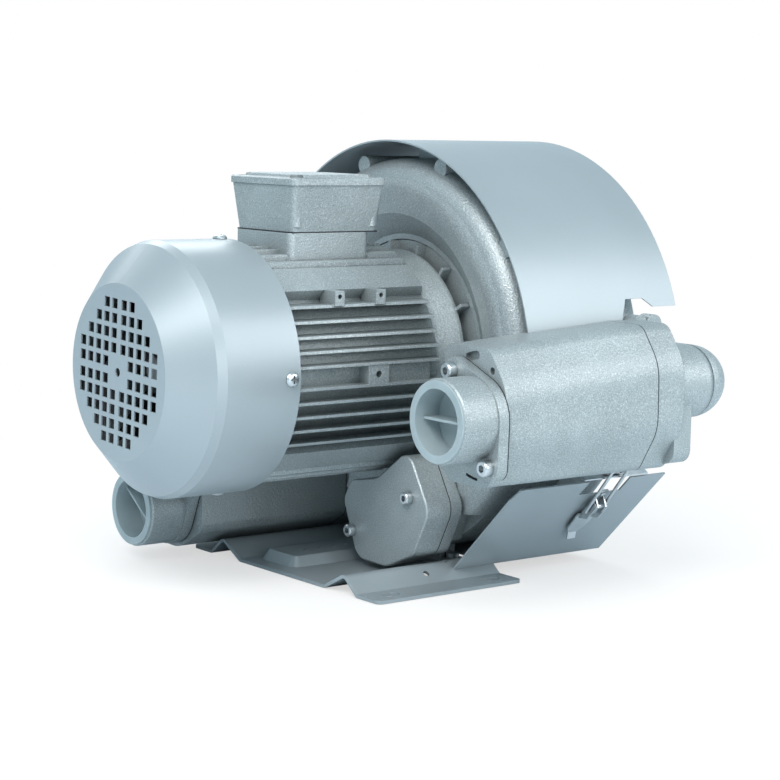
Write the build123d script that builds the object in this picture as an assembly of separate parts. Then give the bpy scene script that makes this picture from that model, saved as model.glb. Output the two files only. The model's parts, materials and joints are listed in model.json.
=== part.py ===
from build123d import *
from math import cos, radians, sin, sqrt, tan
import os

# Side channel blower, two stages, with a fan-cooled motor. Millimetres. X runs along the motor axis from
# the fan cowl to the blower, the near side is -Y, Z is up. The origin is on the floor under the middle of
# the foot slots.

# ---- shaft line ----
axis_height = 192.5
running_fit = 0.05
sheet = 1.5
gasket = 1.0

# ---- base plate ----
base_thick = 3.0
base_half_x = 81.0
base_half_y = 144.0
ridge_rise = 14.5
ridge_y = 94.0
ridge_outer_y = 112.0
ridge_inner_y = 66.0
bend_radius = 5.0
foot_corner = 6.0
foot_pitch_x = 113.0
foot_pitch_y = 255.0
foot_slot_length = 20.0
foot_slot_width = 11.0
hump_rise = 9.0
hump_x = (-64.0, 50.0)
hump_y = (4.0, 60.0)
hump_hole_pitch = 16.0
hump_hole_radius = 2.0
drain_radius = 3.0

# ---- fan cowl ----
cowl_face_x = -251.0
cowl_rear_x = -141.0
cowl_radius = 110.0
cowl_face_radius = 75.0
cowl_shoulder_radius = 107.0
cowl_cone_length = 29.5
cowl_roll = 8.0
grille_pitch = 12.5
grille_gap_ratio = 1.19
grille_hole = 8.5
grille_turn = 2.8
grille_eye_radius = 3.8
cowl_screw_x = -150.0
cowl_screw_radius = 2.5
cowl_screw_head = 6.2
cowl_lug_half = 6.5

# ---- motor frame ----
frame_x0 = -143.0
frame_x1 = 21.0
frame_bore = 83.0
frame_root = 89.5
fin_radius = 104.5
fin_thick = 2.6
fin_pitch = 12.3
fin_first_up = 7.5
fin_first_down = -11.0
fin_rows = 5
fin_nose = 14.0
rail_inner = (53.0, 87.0)
rail_outer = (74.5, 69.5)
boss_x = (-65.0, -43.0)
lug_x = (-87.0, -43.0)
lug_size = 10.0

# ---- terminal box ----
box_x0 = -107.0
box_x1 = -8.0
box_half_y = 48.0
box_bottom_z = 309.5
box_top_z = 349.5
box_draft_x = 3.5
box_draft_y = 6.0
box_wall = 4.0
lid_overhang = 1.5
lid_edge = 6.5
lid_panel = 2.5
lid_corner = 14.0
neck_half_y = 42.0
neck_x0 = -106.0
neck_x1 = -20.0
neck_wall = 6.0
gland_radius = 10.0
gland_x = (-82.0, -36.0)
gland_z = 330.0
gland_boss = 15.0

# ---- blower housings ----
stage_1_x = 76.0
stage_pitch = 76.0
vane_half_width = 15.0
channel_mid = 150.0
channel_radius = 20.0
vane_count = 36
vane_thick = 3.0
disc_half = 4.0
hub_half = 10.0
hub_radius = 30.0
rim_thick = 8.0
wheel_gap = 0.6
disc_gap = 1.0
hub_gap = 1.0
housing_radius = 180.0
housing_wall = 5.0
plate_thick = 9.0
collar_radius = 111.0
collar_x = 55.0
cut_z = 60.0
cut_far_z = 97.0
cut_far_y = 60.0
bolt_circle = 181.0
bolt_lug = 8.5
bolt_lug_front = 13.0
bolt_lug_rear = 14.0
bolt_head_radius = 6.3
bolt_head_room = 7.0
bolt_radius = 4.0
bolt_angles = (0.0, 36.0, 72.0, 108.0, 144.0, 200.0, 340.0)
inlet_end_x = 112.0
foot_half_y = 64.0
foot_x0 = 63.5
foot_x1 = 80.0
foot_ear_z = 6.0
foot_screw_y = 57.0
outlet_x = 187.0
outlet_z = 185.0
outlet_radius = 32.0
outlet_wall = 4.5
outlet_face_y = -187.0

# ---- bell and bearings ----
bell_radius = 97.0
bell_flare_x = 44.0
bell_plate_thick = 6.0
bell_plate_radius = 105.4
bell_ribs = 16
bell_rib_thick = 3.0
bell_groove_x = 47.0
bell_groove_radius = 85.0
bell_groove_wall = 4.0
bell_bolts = 6
bell_bolt_circle = 72.0
shaft_body_radius = 21.0
shaft_seat_radius = 15.0
hub_seat_radius = 14.0
rear_seat_radius = 12.5
front_bearing_x = 34.0
front_bearing_outer = 36.0
bearing_width = 17.0
rear_bearing_x = 174.0
rear_bearing_outer = 26.0
end_bearing_x = -160.0
spacer_radius = 22.0
nut_length = 10.0
nut_radius = 21.0
seal_outer = 24.0
seal_x = 54.0

# ---- motor inside ----
rotor_radius = 54.0
rotor_gap = 0.5
core_x0 = -118.0
core_x1 = -8.0
slot_count = 24
winding_length = 16.0
fan_x = -200.0
fan_radius = 96.0
fan_blades = 8

# ---- hood and lower shroud ----
hood_radius = 202.0
hood_centre_z = 187.0
hood_x0 = 31.5
hood_x1 = 211.5
hood_bottom_z = 98.0
window_x = 144.0
panel_sum = 94.0
panel_x0 = 34.0
panel_x1 = 212.0
panel_bottom_z = 10.2
panel_top_z = 93.5
panel_corner = 12.0
pan_gap = 0.5
notch_x = (118.0, 168.0)
notch_depth = 13.0
bracket_angles = (54.0, 90.0, 126.0)
bracket_x = (84.0, 108.0)

# ---- silencers ----
silencer_length = 170.0
far_silencer_length = 164.0
silencer_half_tall = 58.0
silencer_half_deep = 43.0
silencer_rise = 12.0
silencer_corners = (10.0, 14.0, 45.0, 40.0, 12.0, 6.0, 6.0)
silencer_wall = 5.0
near_port_x = -97.0
near_port = (-236.0, 169.0)
near_body = (-226.0, 170.0)
far_port_x = -157.5
far_port = (129.0, 47.5)
far_body = (139.0, 49.5)
stub_radius = 35.0
stub_bore = 29.8
stub_length = 34.0
flange_thick = 10.0
flange_ear = 11.0
port_screw_reach = 44.0
port_screw_tilt = 33.0
port_screw_radius = 4.0
plug_lip = 33.4
plug_lip_thick = 2.0
plug_depth = 25.0
plug_wall = 3.0
liner_outer = 26.0
liner_wall = 2.0
liner_length = 150.0
hood_gap = 2.0
end_slot_radius = 51.0
end_hole = (-12.8, 39.5)
end_hole_radius = 3.0
end_pocket_depth = 4.0

# ---- outlet manifold ----
manifold_ring = 30.0
manifold_lugs = ((154.5, 232.0), (172.0, 232.0))
manifold_lug = 9.5
saddle_y = (-206.0, -193.0)
saddle_top = 231.0
manifold_block_x1 = 165.0
manifold_block_y = (-262.0, -192.0)
manifold_block_z = (117.0, 188.0)
manifold_y = -235.0

# ---- crossover ----
cover_x0 = -5.0
cover_thick = 27.0
cover_wall = 5.0
cover_back_flange = 12.0
cover_outline = (
    (-84.0, 119.0),
    (-115.0, 67.0),
    (-94.0, 25.0),
    (-55.0, 8.0),
    (-12.0, 9.0),
    (10.0, 61.0),
    (-2.0, 80.0),
    (-40.0, 87.0),
)
cover_corners = (14.0, 20.0, 16.0, 24.0, 18.0, 14.0, 10.0, 24.0)
cover_screws = ((-87.5, 76.0), (-5.5, 33.7))
neck_inset = 9.0
passage = (-61.0, 58.0)
passage_radius = 21.0

# ---- toggle latches ----
latch_x = 145.0
latch_pivot_z = 72.0
latch_pivot_up = 7.0
latch_pin_radius = 2.2
latch_arm = 8.0
latch_dip = 0.5
lever_half_width = 12.0
lever_reach = 44.0
cheek_inner = 6.0
ear_inner = 4.0
plate_thick_thin = 1.5
bail_half_width = 9.3
bail_wire = 1.5
keeper_x = (111.0, 188.0)
keeper_z = 101.0
lip_slope = 30.0
lip_turned = 8.7
seat_y = -186.5
seat_to_bend = 4.5
knee_at = (-198.0, 103.0)
bail_gap = 0.7

# ---- places that follow from the sizes above ----
stage_2_x = stage_1_x + stage_pitch
split_1 = stage_1_x - vane_half_width - wheel_gap
split_2 = stage_2_x - vane_half_width - wheel_gap
channel_1_rear = stage_1_x + vane_half_width + wheel_gap
channel_2_rear = stage_2_x + vane_half_width + wheel_gap
hub_plate_x = stage_1_x - disc_half - disc_gap - plate_thick
inlet_x = far_port_x + stub_length + flange_thick + far_silencer_length + 2 * gasket
front_x = split_1 - channel_radius - housing_wall + 0.5


def yz(x):
    """Work plane facing +X at x, with sketch x along Y and sketch y along Z."""
    return Plane(origin=(x, 0, 0), x_dir=(0, 1, 0), z_dir=(1, 0, 0))


def axis_yz(x):
    """The same plane with its origin on the shaft line."""
    return Plane(origin=(x, 0, axis_height), x_dir=(0, 1, 0), z_dir=(1, 0, 0))


def bar(face, x0, x1):
    """Face drawn in (Y, Z), extruded from x0 to x1."""
    return extrude(yz(x0) * face, amount=x1 - x0)


def axis_bar(face, x0, x1):
    """Face drawn about the shaft line, extruded from x0 to x1."""
    return extrude(axis_yz(x0) * face, amount=x1 - x0)


def disc_x(radius, x0, x1):
    """Solid round bar on the shaft line."""
    return axis_bar(Circle(radius), x0, x1)


def ring_x(outer, inner, x0, x1):
    """Round tube on the shaft line."""
    return axis_bar(Circle(outer) - Circle(inner), x0, x1)


def turned(points):
    """Body of revolution about the shaft line from (x, radius) points."""
    face = Plane.XZ * make_face(Polyline([(x, r) for x, r in points], close=True))
    body = revolve(face, Axis((0, 0, 0), (1, 0, 0)))
    return Pos(0, 0, axis_height) * body


def on_circle(part, count, start=0.0):
    """Copies of a part spread round the shaft line."""
    centre = Pos(0, 0, axis_height)
    copies = []
    for i in range(count):
        copies.append(centre * Rot(start + 360.0 * i / count, 0, 0) * centre.inverse() * part)
    return copies


def socket_screw(head_radius, head_height, shank_radius, shank_length):
    """Socket cap screw, head towards +Z with its underside at zero."""
    head = Cylinder(head_radius, head_height, align=(Align.CENTER, Align.CENTER, Align.MIN))
    head = chamfer(head.edges().sort_by(Axis.Z)[-1], 0.12 * head_height)
    hexagon = extrude(RegularPolygon(0.52 * head_radius, 6), amount=head_height)
    socket = Pos(0, 0, 0.45 * head_height) * hexagon
    shank = Cylinder(shank_radius, shank_length, align=(Align.CENTER, Align.CENTER, Align.MAX))
    return head - socket + shank


def pan_screw(head_radius, head_height, shank_radius, shank_length):
    """Pan-head screw with a cross recess, head towards +Z."""
    profile = Plane.XZ * make_face(
        Polyline(
            [
                (0, 0),
                (head_radius, 0),
                (head_radius, 0.35 * head_height),
                (0.8 * head_radius, 0.8 * head_height),
                (0.45 * head_radius, head_height),
                (0, head_height),
            ],
            close=True,
        )
    )
    head = revolve(profile, Axis.Z)
    arm = Box(1.1 * head_radius, 0.22 * head_radius, head_height)
    arms = arm + Rot(0, 0, 90) * arm
    shank = Cylinder(shank_radius, shank_length, align=(Align.CENTER, Align.CENTER, Align.MAX))
    return head - Pos(0, 0, head_height) * arms + shank


def facing(position, direction):
    """Placement whose +Z points along a direction."""
    return Plane(origin=position, z_dir=direction).location


def box_at(x0, x1, y0, y1, z0, z1):
    """Block between two corners."""
    block = Box(x1 - x0, y1 - y0, z1 - z0, align=(Align.MIN, Align.MIN, Align.MIN))
    return Pos(x0, y0, z0) * block


def polar(radius, angle):
    """Point (y, z) on a circle about the shaft line."""
    return (radius * cos(radians(angle)), axis_height + radius * sin(radians(angle)))


def rod_x(radius, y, z, x0, x1):
    """Round bar along X at (y, z)."""
    return bar(Pos(y, z) * Circle(radius), x0, x1)


def screw_along(screw, position, direction):
    """Screw placed with its head underside at a position, head towards a direction."""
    return facing(position, direction) * screw


def group(parts):
    """Separate solids kept together in one node."""
    solids = []
    for part in parts:
        solids.extend(part.solids())
    return Compound(children=solids)


# ---------------------------------------------------------------- base


def make_base_plate():
    path = FilletPolyline(
        (-base_half_y, 0),
        (-ridge_outer_y, 0),
        (-ridge_y, ridge_rise),
        (-ridge_inner_y, 0),
        (ridge_inner_y, 0),
        (ridge_y, ridge_rise),
        (ridge_outer_y, 0),
        (base_half_y, 0),
        radius=bend_radius,
    )
    plate = bar(make_face(offset(path, amount=base_thick, side=Side.LEFT)), -base_half_x, base_half_x)
    corners = [edge for edge in plate.edges().filter_by(Axis.Z) if abs(edge.center().Y) > base_half_y - 1]
    plate = fillet(corners, foot_corner)
    slot = extrude(SlotOverall(foot_slot_length, foot_slot_width), amount=4 * base_thick)
    for x in (-foot_pitch_x / 2, foot_pitch_x / 2):
        for y in (-foot_pitch_y / 2, foot_pitch_y / 2):
            plate -= Pos(x, y, -base_thick) * slot
    plate = plate + make_hump(0, base_thick) - make_hump(-base_thick, 0)
    middle_y = (hump_y[0] + hump_y[1]) / 2
    for i in range(-2, 3):
        plate -= Pos(i * hump_hole_pitch, middle_y, hump_rise) * Cylinder(hump_hole_radius, 4 * base_thick)
    outer_y = (ridge_y + ridge_outer_y) / 2
    plate -= Pos(2.6, -outer_y, ridge_rise / 2 + base_thick / 2) * Rot(39, 0, 0) * Cylinder(drain_radius, 20)
    plate -= Pos(31, -ridge_y, ridge_rise) * Cylinder(drain_radius, 20)
    for y in (-foot_screw_y, foot_screw_y):
        plate -= Pos((foot_x0 + foot_x1) / 2, y, 0) * Cylinder(bolt_radius + running_fit, 20)
    return plate


def make_hump(low, base_z):
    """Pressed hump of the base plate: its outer skin, or the hollow under it."""
    x0, x1 = hump_x
    y0, y1 = hump_y
    face = Rectangle(x1 - x0, y1 - y0)
    body = extrude(fillet(face.vertices(), 10), amount=hump_rise, taper=35)
    if low < 0:
        body = extrude(fillet(Rectangle(x1 - x0 - 4, y1 - y0 - 4).vertices(), 9), amount=hump_rise, taper=35)
    return Pos((x0 + x1) / 2, (y0 + y1) / 2, base_z) * body


# ---------------------------------------------------------------- motor


def cowl_profile(inset):
    """Half section (x, radius) of the fan cowl, drawn inset from its outer skin."""
    shoulder_x = cowl_face_x + cowl_cone_length
    face_x = cowl_face_x + inset
    return [
        (face_x, 0),
        (face_x, cowl_face_radius - 0.5 * inset),
        (shoulder_x + 0.3 * inset, cowl_shoulder_radius - inset),
        (shoulder_x + cowl_roll, cowl_radius - inset),
        (cowl_rear_x, cowl_radius - inset),
        (cowl_rear_x, 0),
    ]


def grille_places():
    """Hole centres of the grille, row by row from the top."""
    rows = ((4, 7), (3, 8), (2, 9), (1, 10), (1, 10), (1, 10), (1, 10), (2, 9), (3, 8), (4, 7))
    places = []
    for row, (first, last) in enumerate(rows, start=1):
        for column in range(first, last + 1):
            beside_eye = row in (5, 6) and column in (5, 6)
            if not beside_eye:
                places.append((grille_step(column), -grille_step(row)))
    return places


def grille_step(index):
    """Distance of the grille's row or column number from its middle."""
    side = 1 if index > 5 else -1
    count = index - 6 if index > 5 else 5 - index
    return side * grille_pitch * (grille_gap_ratio / 2 + count)


def make_fan_cowl():
    cowl = turned(cowl_profile(0)) - turned(cowl_profile(sheet))
    holes = []
    for y, z in grille_places():
        holes.append(Pos(y, z) * Rectangle(grille_hole, grille_hole))
    holes.append(Circle(grille_eye_radius))
    pattern = Rot(0, 0, grille_turn) * Sketch(children=holes)
    cowl -= axis_bar(pattern, cowl_face_x - 1, cowl_face_x + 2 * sheet)
    hole = Pos(cowl_screw_x, 0, axis_height + cowl_radius) * Cylinder(cowl_screw_radius + running_fit, 20)
    for part in on_circle(hole, 4):
        cowl -= part
    return cowl


def make_cowl_screws():
    screw = pan_screw(cowl_screw_head, 3.6, cowl_screw_radius, 9)
    top = Pos(cowl_screw_x, 0, axis_height + cowl_radius) * screw
    return group(on_circle(top, 4))


def fin_face():
    """Cross-section of the finned frame, drawn about the shaft line."""
    envelope = Circle(fin_radius)
    fins = Sketch()
    for i in range(fin_rows):
        for z in (fin_first_up + i * fin_pitch, fin_first_down - i * fin_pitch):
            fins += Pos(0, z) * Rectangle(2 * fin_radius, fin_thick)
        if i > 0:
            for y in (-i * fin_pitch, i * fin_pitch):
                fins += Pos(y, 0) * Rectangle(fin_thick, 2 * fin_radius)
    # Horizontal fins stop at the rails, upright fins stay between them.
    corner = (rail_inner[0] + rail_outer[0]) / 2
    sides = Pos(-fin_radius, 0) * Rectangle(2 * (fin_radius - corner), 2 * rail_outer[1])
    sides += Pos(fin_radius, 0) * Rectangle(2 * (fin_radius - corner), 2 * rail_outer[1])
    caps = Rectangle(2 * rail_inner[0], 2 * fin_radius)
    fins = fins & envelope & (sides + caps)
    rails = Sketch()
    for side_y in (-1, 1):
        for side_z in (-1, 1):
            rails += make_face(
                Polyline(
                    (side_y * rail_inner[0], side_z * rail_inner[1]),
                    (side_y * rail_outer[0], side_z * rail_outer[1]),
                    (side_y * 60, side_z * 55),
                    (side_y * 43, side_z * 72),
                    close=True,
                )
            )
    return fins + rails + Circle(frame_root)


def frame_envelope():
    """Turned envelope that rounds off the fins at the bell end."""
    return turned(
        [
            (frame_x0, 0),
            (frame_x0, fin_radius + 20),
            (frame_x1 - fin_nose, fin_radius + 8),
            (frame_x1 - 0.3 * fin_nose, fin_radius - 6),
            (frame_x1, frame_root),
            (frame_x1, 0),
        ]
    )


def make_motor_frame():
    frame = axis_bar(fin_face(), frame_x0, frame_x1) & frame_envelope()
    neck_top = box_bottom_z - gasket
    neck = box_at(neck_x0, neck_x1, -neck_half_y, neck_half_y, axis_height + 55, neck_top)
    neck = fillet(neck.edges().filter_by(Axis.Z), 6)
    frame += neck
    frame -= box_at(
        neck_x0 + neck_wall,
        neck_x1 - neck_wall,
        -neck_half_y + neck_wall,
        neck_half_y - neck_wall,
        axis_height + frame_root + 4,
        neck_top + 1,
    )
    # Earthing boss between the middle fins, and the shallow pad beside it.
    for side in (-1, 1):
        y0, y1 = sorted((side * 80, side * (fin_radius - 1)))
        pad_y0, pad_y1 = sorted((side * 80, side * (fin_radius - 7)))
        z0 = axis_height + fin_first_down
        z1 = axis_height + fin_first_up
        frame += box_at(boss_x[0], boss_x[1], y0, y1, z0, z1)
        frame += box_at(boss_x[1], frame_x1 - fin_nose, pad_y0, pad_y1, z0, z1)
        for x in lug_x:
            ly0, ly1 = sorted((side * 68, side * 90))
            lug_z = axis_height + fin_first_up + (fin_rows - 1) * fin_pitch
            frame += box_at(x - lug_size / 2, x + lug_size / 2, ly0, ly1, lug_z, lug_z + 13)
            frame -= Pos(x, side * 84, lug_z + 8) * Rot(90, 0, 0) * Cylinder(2, 20)
        frame -= Pos(sum(boss_x) / 2, side * fin_radius, (z0 + z1) / 2) * Rot(90, 0, 0) * Cylinder(3, 16)
    frame -= disc_x(frame_bore, frame_x0 - 1, frame_x1 + 1)
    frame -= Pos((neck_x0 + neck_x1) / 2, 0, axis_height + frame_root) * Cylinder(gland_radius, 30)
    return frame


def make_end_shield():
    x0 = end_bearing_x - 4
    shield = turned(
        [
            (x0, shaft_seat_radius + 2),
            (x0, front_bearing_outer + 7),
            (frame_x0 - 10, front_bearing_outer + 8),
            (frame_x0 - 8, 78),
            (frame_x0 - 8, 96),
            (frame_x0, 96),
            (frame_x0, frame_bore - running_fit),
            (frame_x0 + 5, frame_bore - running_fit),
            (frame_x0 + 5, frame_bore - 6),
            (frame_x0, 74),
            (end_bearing_x + bearing_width, front_bearing_outer + 8),
            (end_bearing_x + bearing_width, front_bearing_outer + running_fit),
            (end_bearing_x, front_bearing_outer + running_fit),
            (end_bearing_x, shaft_seat_radius + 2),
        ]
    )
    lug_top = cowl_radius - sheet
    lug = Pos(cowl_screw_x, 0, axis_height + 90) * Box(2 * cowl_lug_half, 16, 2 * (lug_top - 90))
    lug &= disc_x(lug_top, cowl_screw_x - 20, frame_x0)
    lug -= Pos(cowl_screw_x, 0, axis_height + lug_top) * Cylinder(cowl_screw_radius + running_fit, 16)
    for part in on_circle(lug, 4):
        shield += part
    return shield


def bearing(x0, outer, bore, width):
    """Ball bearing with shields: two rings and the recessed faces between them."""
    middle = (outer + bore) / 2
    ring = turned(
        [
            (x0, bore),
            (x0, middle - 4),
            (x0 + 0.8, middle - 3.5),
            (x0 + 0.8, middle + 3.5),
            (x0, middle + 4),
            (x0, outer),
            (x0 + width, outer),
            (x0 + width, middle + 4),
            (x0 + width - 0.8, middle + 3.5),
            (x0 + width - 0.8, middle - 3.5),
            (x0 + width, middle - 4),
            (x0 + width, bore),
        ]
    )
    return ring


def make_end_bearing():
    return bearing(end_bearing_x, front_bearing_outer, shaft_seat_radius + running_fit, bearing_width)


def make_front_bearing():
    return bearing(front_bearing_x, front_bearing_outer, shaft_seat_radius + running_fit, bearing_width)


def make_rear_bearing():
    return bearing(rear_bearing_x, rear_bearing_outer, rear_seat_radius + running_fit, bearing_width)


def make_stator_core():
    core = ring_x(frame_bore - running_fit, rotor_radius + rotor_gap, core_x0, core_x1)
    slot = make_face(
        Polyline(
            (-1.2, rotor_radius),
            (1.2, rotor_radius),
            (1.2, rotor_radius + 3),
            (4.2, rotor_radius + 18),
            (-4.2, rotor_radius + 18),
            (-1.2, rotor_radius + 3),
            close=True,
        )
    )
    slots = [Rot(0, 0, 360.0 * i / slot_count) * slot for i in range(slot_count)]
    return core - axis_bar(Sketch(children=slots), core_x0 - 1, core_x1 + 1)


def make_windings():
    rings = []
    for x0, x1 in ((core_x0 - winding_length, core_x0), (core_x1, core_x1 + winding_length)):
        inner = rotor_radius + rotor_gap + 4
        outer = frame_bore - 6
        edge = 4
        rings.append(
            turned(
                [
                    (x0, inner + edge),
                    (x0, outer - edge),
                    (x0 + edge, outer),
                    (x1 - edge, outer),
                    (x1, outer - edge),
                    (x1, inner + edge),
                    (x1 - edge, inner),
                    (x0 + edge, inner),
                ]
            )
        )
    return group(rings)


def make_bell():
    x0 = frame_x1
    x1 = frame_x1 + 41
    plate_x0 = x1 - bell_plate_thick
    bearing_x1 = front_bearing_x + bearing_width
    bell = turned(
        [
            (x0, frame_bore),
            (x0, frame_root),
            (bell_flare_x, bell_radius),
            (bell_groove_x, bell_radius),
            (bell_groove_x, bell_groove_radius),
            (plate_x0, bell_groove_radius),
            (plate_x0, bell_plate_radius),
            (x1, bell_plate_radius),
            (x1, front_bearing_outer - 6),
            (bearing_x1, front_bearing_outer - 6),
            (bearing_x1, front_bearing_outer + running_fit),
            (front_bearing_x, front_bearing_outer + running_fit),
            (front_bearing_x, front_bearing_outer + 9),
            (plate_x0, front_bearing_outer + 11),
            (plate_x0, bell_groove_radius - bell_groove_wall),
            (bell_groove_x - bell_groove_wall, bell_groove_radius - bell_groove_wall),
            (x0 + 4, frame_bore),
        ]
    )
    half_rib = bell_rib_thick / 2
    rib_z = (axis_height + bell_groove_radius - 1, axis_height + bell_plate_radius - 0.5)
    rib = box_at(bell_groove_x - 1, plate_x0 + 0.5, -half_rib, half_rib, *rib_z)
    for part in on_circle(rib, bell_ribs, 15):
        bell += part
    hole = rod_x(bolt_radius + running_fit, 0, axis_height + bell_bolt_circle, plate_x0 - 1, x1 + 1)
    for part in on_circle(hole, bell_bolts):
        bell -= part
    return bell


def make_bell_screws():
    plate_x0 = frame_x1 + 41 - bell_plate_thick
    screw = socket_screw(6.5, 8, bolt_radius, bell_plate_thick + plate_thick - 3)
    top = screw_along(screw, (plate_x0, 0, axis_height + bell_bolt_circle), (-1, 0, 0))
    return group(on_circle(top, bell_bolts))


# ---------------------------------------------------------------- rotor


def make_shaft():
    hub_end = stage_2_x + hub_half
    thread_end = hub_end + nut_length
    shaft = turned(
        [
            (fan_x - 16, 0),
            (fan_x - 16, 11),
            (fan_x - 15, 12),
            (end_bearing_x - 8, 12),
            (end_bearing_x - 8, shaft_seat_radius),
            (end_bearing_x + bearing_width, shaft_seat_radius),
            (end_bearing_x + bearing_width, shaft_body_radius),
            (front_bearing_x, shaft_body_radius),
            (front_bearing_x, shaft_seat_radius),
            (stage_1_x - hub_half, shaft_seat_radius),
            (stage_1_x - hub_half, hub_seat_radius),
            (thread_end, hub_seat_radius),
            (thread_end, rear_seat_radius),
            (rear_bearing_x + bearing_width, rear_seat_radius),
            (rear_bearing_x + bearing_width, 0),
        ]
    )
    for x in (stage_1_x, stage_2_x):
        shaft -= key_slot(x)
    return shaft


def key_slot(x):
    """Key seat in the shaft, half the key's height deep."""
    z = axis_height + hub_seat_radius
    return box_at(x - 8, x + 8, -4, 4, z - 4, z + 4)


def make_keys():
    z = axis_height + hub_seat_radius
    return group([box_at(x - 8, x + 8, -4, 4, z - 4, z + 3) for x in (stage_1_x, stage_2_x)])


def make_rotor_core():
    core = ring_x(rotor_radius, shaft_body_radius, core_x0, core_x1)
    for x0, x1 in ((core_x0 - 10, core_x0), (core_x1, core_x1 + 10)):
        core += ring_x(rotor_radius - 2, rotor_radius - 16, x0, x1)
        vane = box_at(x0, x1, -1.5, 1.5, axis_height + rotor_radius - 14, axis_height + rotor_radius - 4)
        shift = -6 if x0 < core_x0 else 6
        for part in on_circle(Pos(shift, 0, 0) * vane, 8):
            core += part
    return core


def make_cooling_fan():
    back = -182.0
    fan = turned(
        [
            (fan_x - 14, 12),
            (fan_x - 14, 20),
            (back - 3, 24),
            (back - 3, fan_radius - 20),
            (back, fan_radius - 20),
            (back, 12),
        ]
    )
    blade = box_at(fan_x - 12, back - 1, -1.5, 1.5, axis_height + 19, axis_height + fan_radius)
    for part in on_circle(blade, fan_blades):
        fan += part
    return fan


def make_impeller(x):
    """Impeller of one stage: hub, web, rim with hollowed sides and radial vanes."""
    root = channel_mid - channel_radius
    tip = channel_mid + channel_radius
    half = vane_half_width
    core = make_face(
        Polyline((x - half, root - rim_thick), (x - half, root)).edges()
        + [ThreePointArc((x - half, root), (x - 0.62 * half, root + 13), (x - 1.5, channel_mid))]
        + Polyline((x - 1.5, channel_mid), (x + 1.5, channel_mid)).edges()
        + [ThreePointArc((x + 1.5, channel_mid), (x + 0.62 * half, root + 13), (x + half, root))]
        + Polyline(
            (x + half, root),
            (x + half, root - rim_thick),
            (x + disc_half, root - rim_thick),
            (x + disc_half, hub_radius),
            (x + hub_half, hub_radius),
            (x + hub_half, hub_seat_radius),
            (x - hub_half, hub_seat_radius),
            (x - hub_half, hub_radius),
            (x - disc_half, hub_radius),
            (x - disc_half, root - rim_thick),
            (x - half, root - rim_thick),
        ).edges()
    )
    wheel = Pos(0, 0, axis_height) * revolve(Plane.XZ * core, Axis((0, 0, 0), (1, 0, 0)))
    vane = Pos(0, (root + tip) / 2 - 2) * Rectangle(vane_thick, tip - root + 4)
    vanes = [Rot(0, 0, 360.0 * i / vane_count) * vane for i in range(vane_count)]
    wheel += axis_bar(Sketch(children=vanes), x - half, x + half)
    z = axis_height + hub_seat_radius
    return wheel - box_at(x - 8, x + 8, -4, 4, z - 6, z + 3)


def make_spacer():
    x0 = stage_1_x + hub_half
    return ring_x(spacer_radius, hub_seat_radius, x0, x0 + stage_pitch - 2 * hub_half)


def make_nut():
    x0 = stage_2_x + hub_half
    nut = ring_x(nut_radius, hub_seat_radius, x0, x0 + nut_length)
    rim_z = axis_height + nut_radius
    notch = box_at(x0 - 1, x0 + nut_length + 1, -2.5, 2.5, rim_z - 3, rim_z + 3)
    for part in on_circle(notch, 4, 45):
        nut -= part
    return nut


# ---------------------------------------------------------------- terminal box


def make_terminal_box():
    height = box_top_z - box_bottom_z
    middle_x = (box_x0 + box_x1) / 2
    top = (box_x1 - box_x0, 2 * box_half_y)
    bottom = (top[0] - 2 * box_draft_x, top[1] - 2 * box_draft_y)
    outer = box_loft(bottom, top, middle_x, box_bottom_z, height)
    wall = 2 * box_wall
    inner_bottom = (bottom[0] - wall, bottom[1] - wall)
    inner_top = (top[0] - wall, top[1] - wall)
    inner = box_loft(inner_bottom, inner_top, middle_x, box_bottom_z + box_wall, height)
    body = outer
    for x in gland_x:
        boss = Pos(x, box_half_y - 6, gland_z) * Rot(90, 0, 0) * Cylinder(gland_boss, 12)
        body += boss
    body -= inner
    for x in gland_x:
        body -= Pos(x, box_half_y, gland_z) * Rot(90, 0, 0) * Cylinder(gland_radius + running_fit, 30)
    body -= Pos((neck_x0 + neck_x1) / 2, 0, box_bottom_z) * Cylinder(20, 20)
    for x, y in lid_screw_places():
        post = extrude(Pos(x, y, box_bottom_z + box_wall) * Circle(5), amount=height - box_wall)
        body += post
        body -= Pos(x, y, box_top_z) * Cylinder(2.5 + running_fit, 20)
    return body


def box_loft(bottom, top, x, z, height):
    """Drafted block with rounded upright corners."""
    low = Pos(x, 0, z) * fillet(Rectangle(*bottom).vertices(), 5)
    high = Pos(x, 0, z + height) * fillet(Rectangle(*top).vertices(), 5)
    return loft([low, high])


def lid_screw_places():
    inset = lid_corner / 2 + 2
    xs = (box_x0 + inset, box_x1 - inset)
    ys = (-box_half_y + inset, box_half_y - inset)
    return [(x, y) for x in xs for y in ys]


def make_lid():
    middle_x = (box_x0 + box_x1) / 2
    length = box_x1 - box_x0 + 2 * lid_overhang
    width = 2 * (box_half_y + lid_overhang)
    lid = extrude(fillet(Rectangle(length, width).vertices(), 6), amount=lid_edge)
    lid = chamfer(lid.faces().sort_by(Axis.Z)[-1].edges(), 1.2)
    panel = extrude(fillet(Rectangle(length - 14, width - 14).vertices(), 6), amount=lid_panel, taper=30)
    lid += Pos(0, 0, lid_edge) * panel
    lid = Pos(middle_x, 0, box_top_z) * lid
    for x, y in lid_screw_places():
        lid -= Pos(x, y, box_top_z + 3) * Cylinder(6, 10, align=(Align.CENTER, Align.CENTER, Align.MIN))
        lid -= Pos(x, y, box_top_z) * Cylinder(2.5 + running_fit, 20)
    return lid


def make_lid_screws():
    screw = pan_screw(4.6, 3, 2.5, 12)
    return group([Pos(x, y, box_top_z + 3) * screw for x, y in lid_screw_places()])


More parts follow.
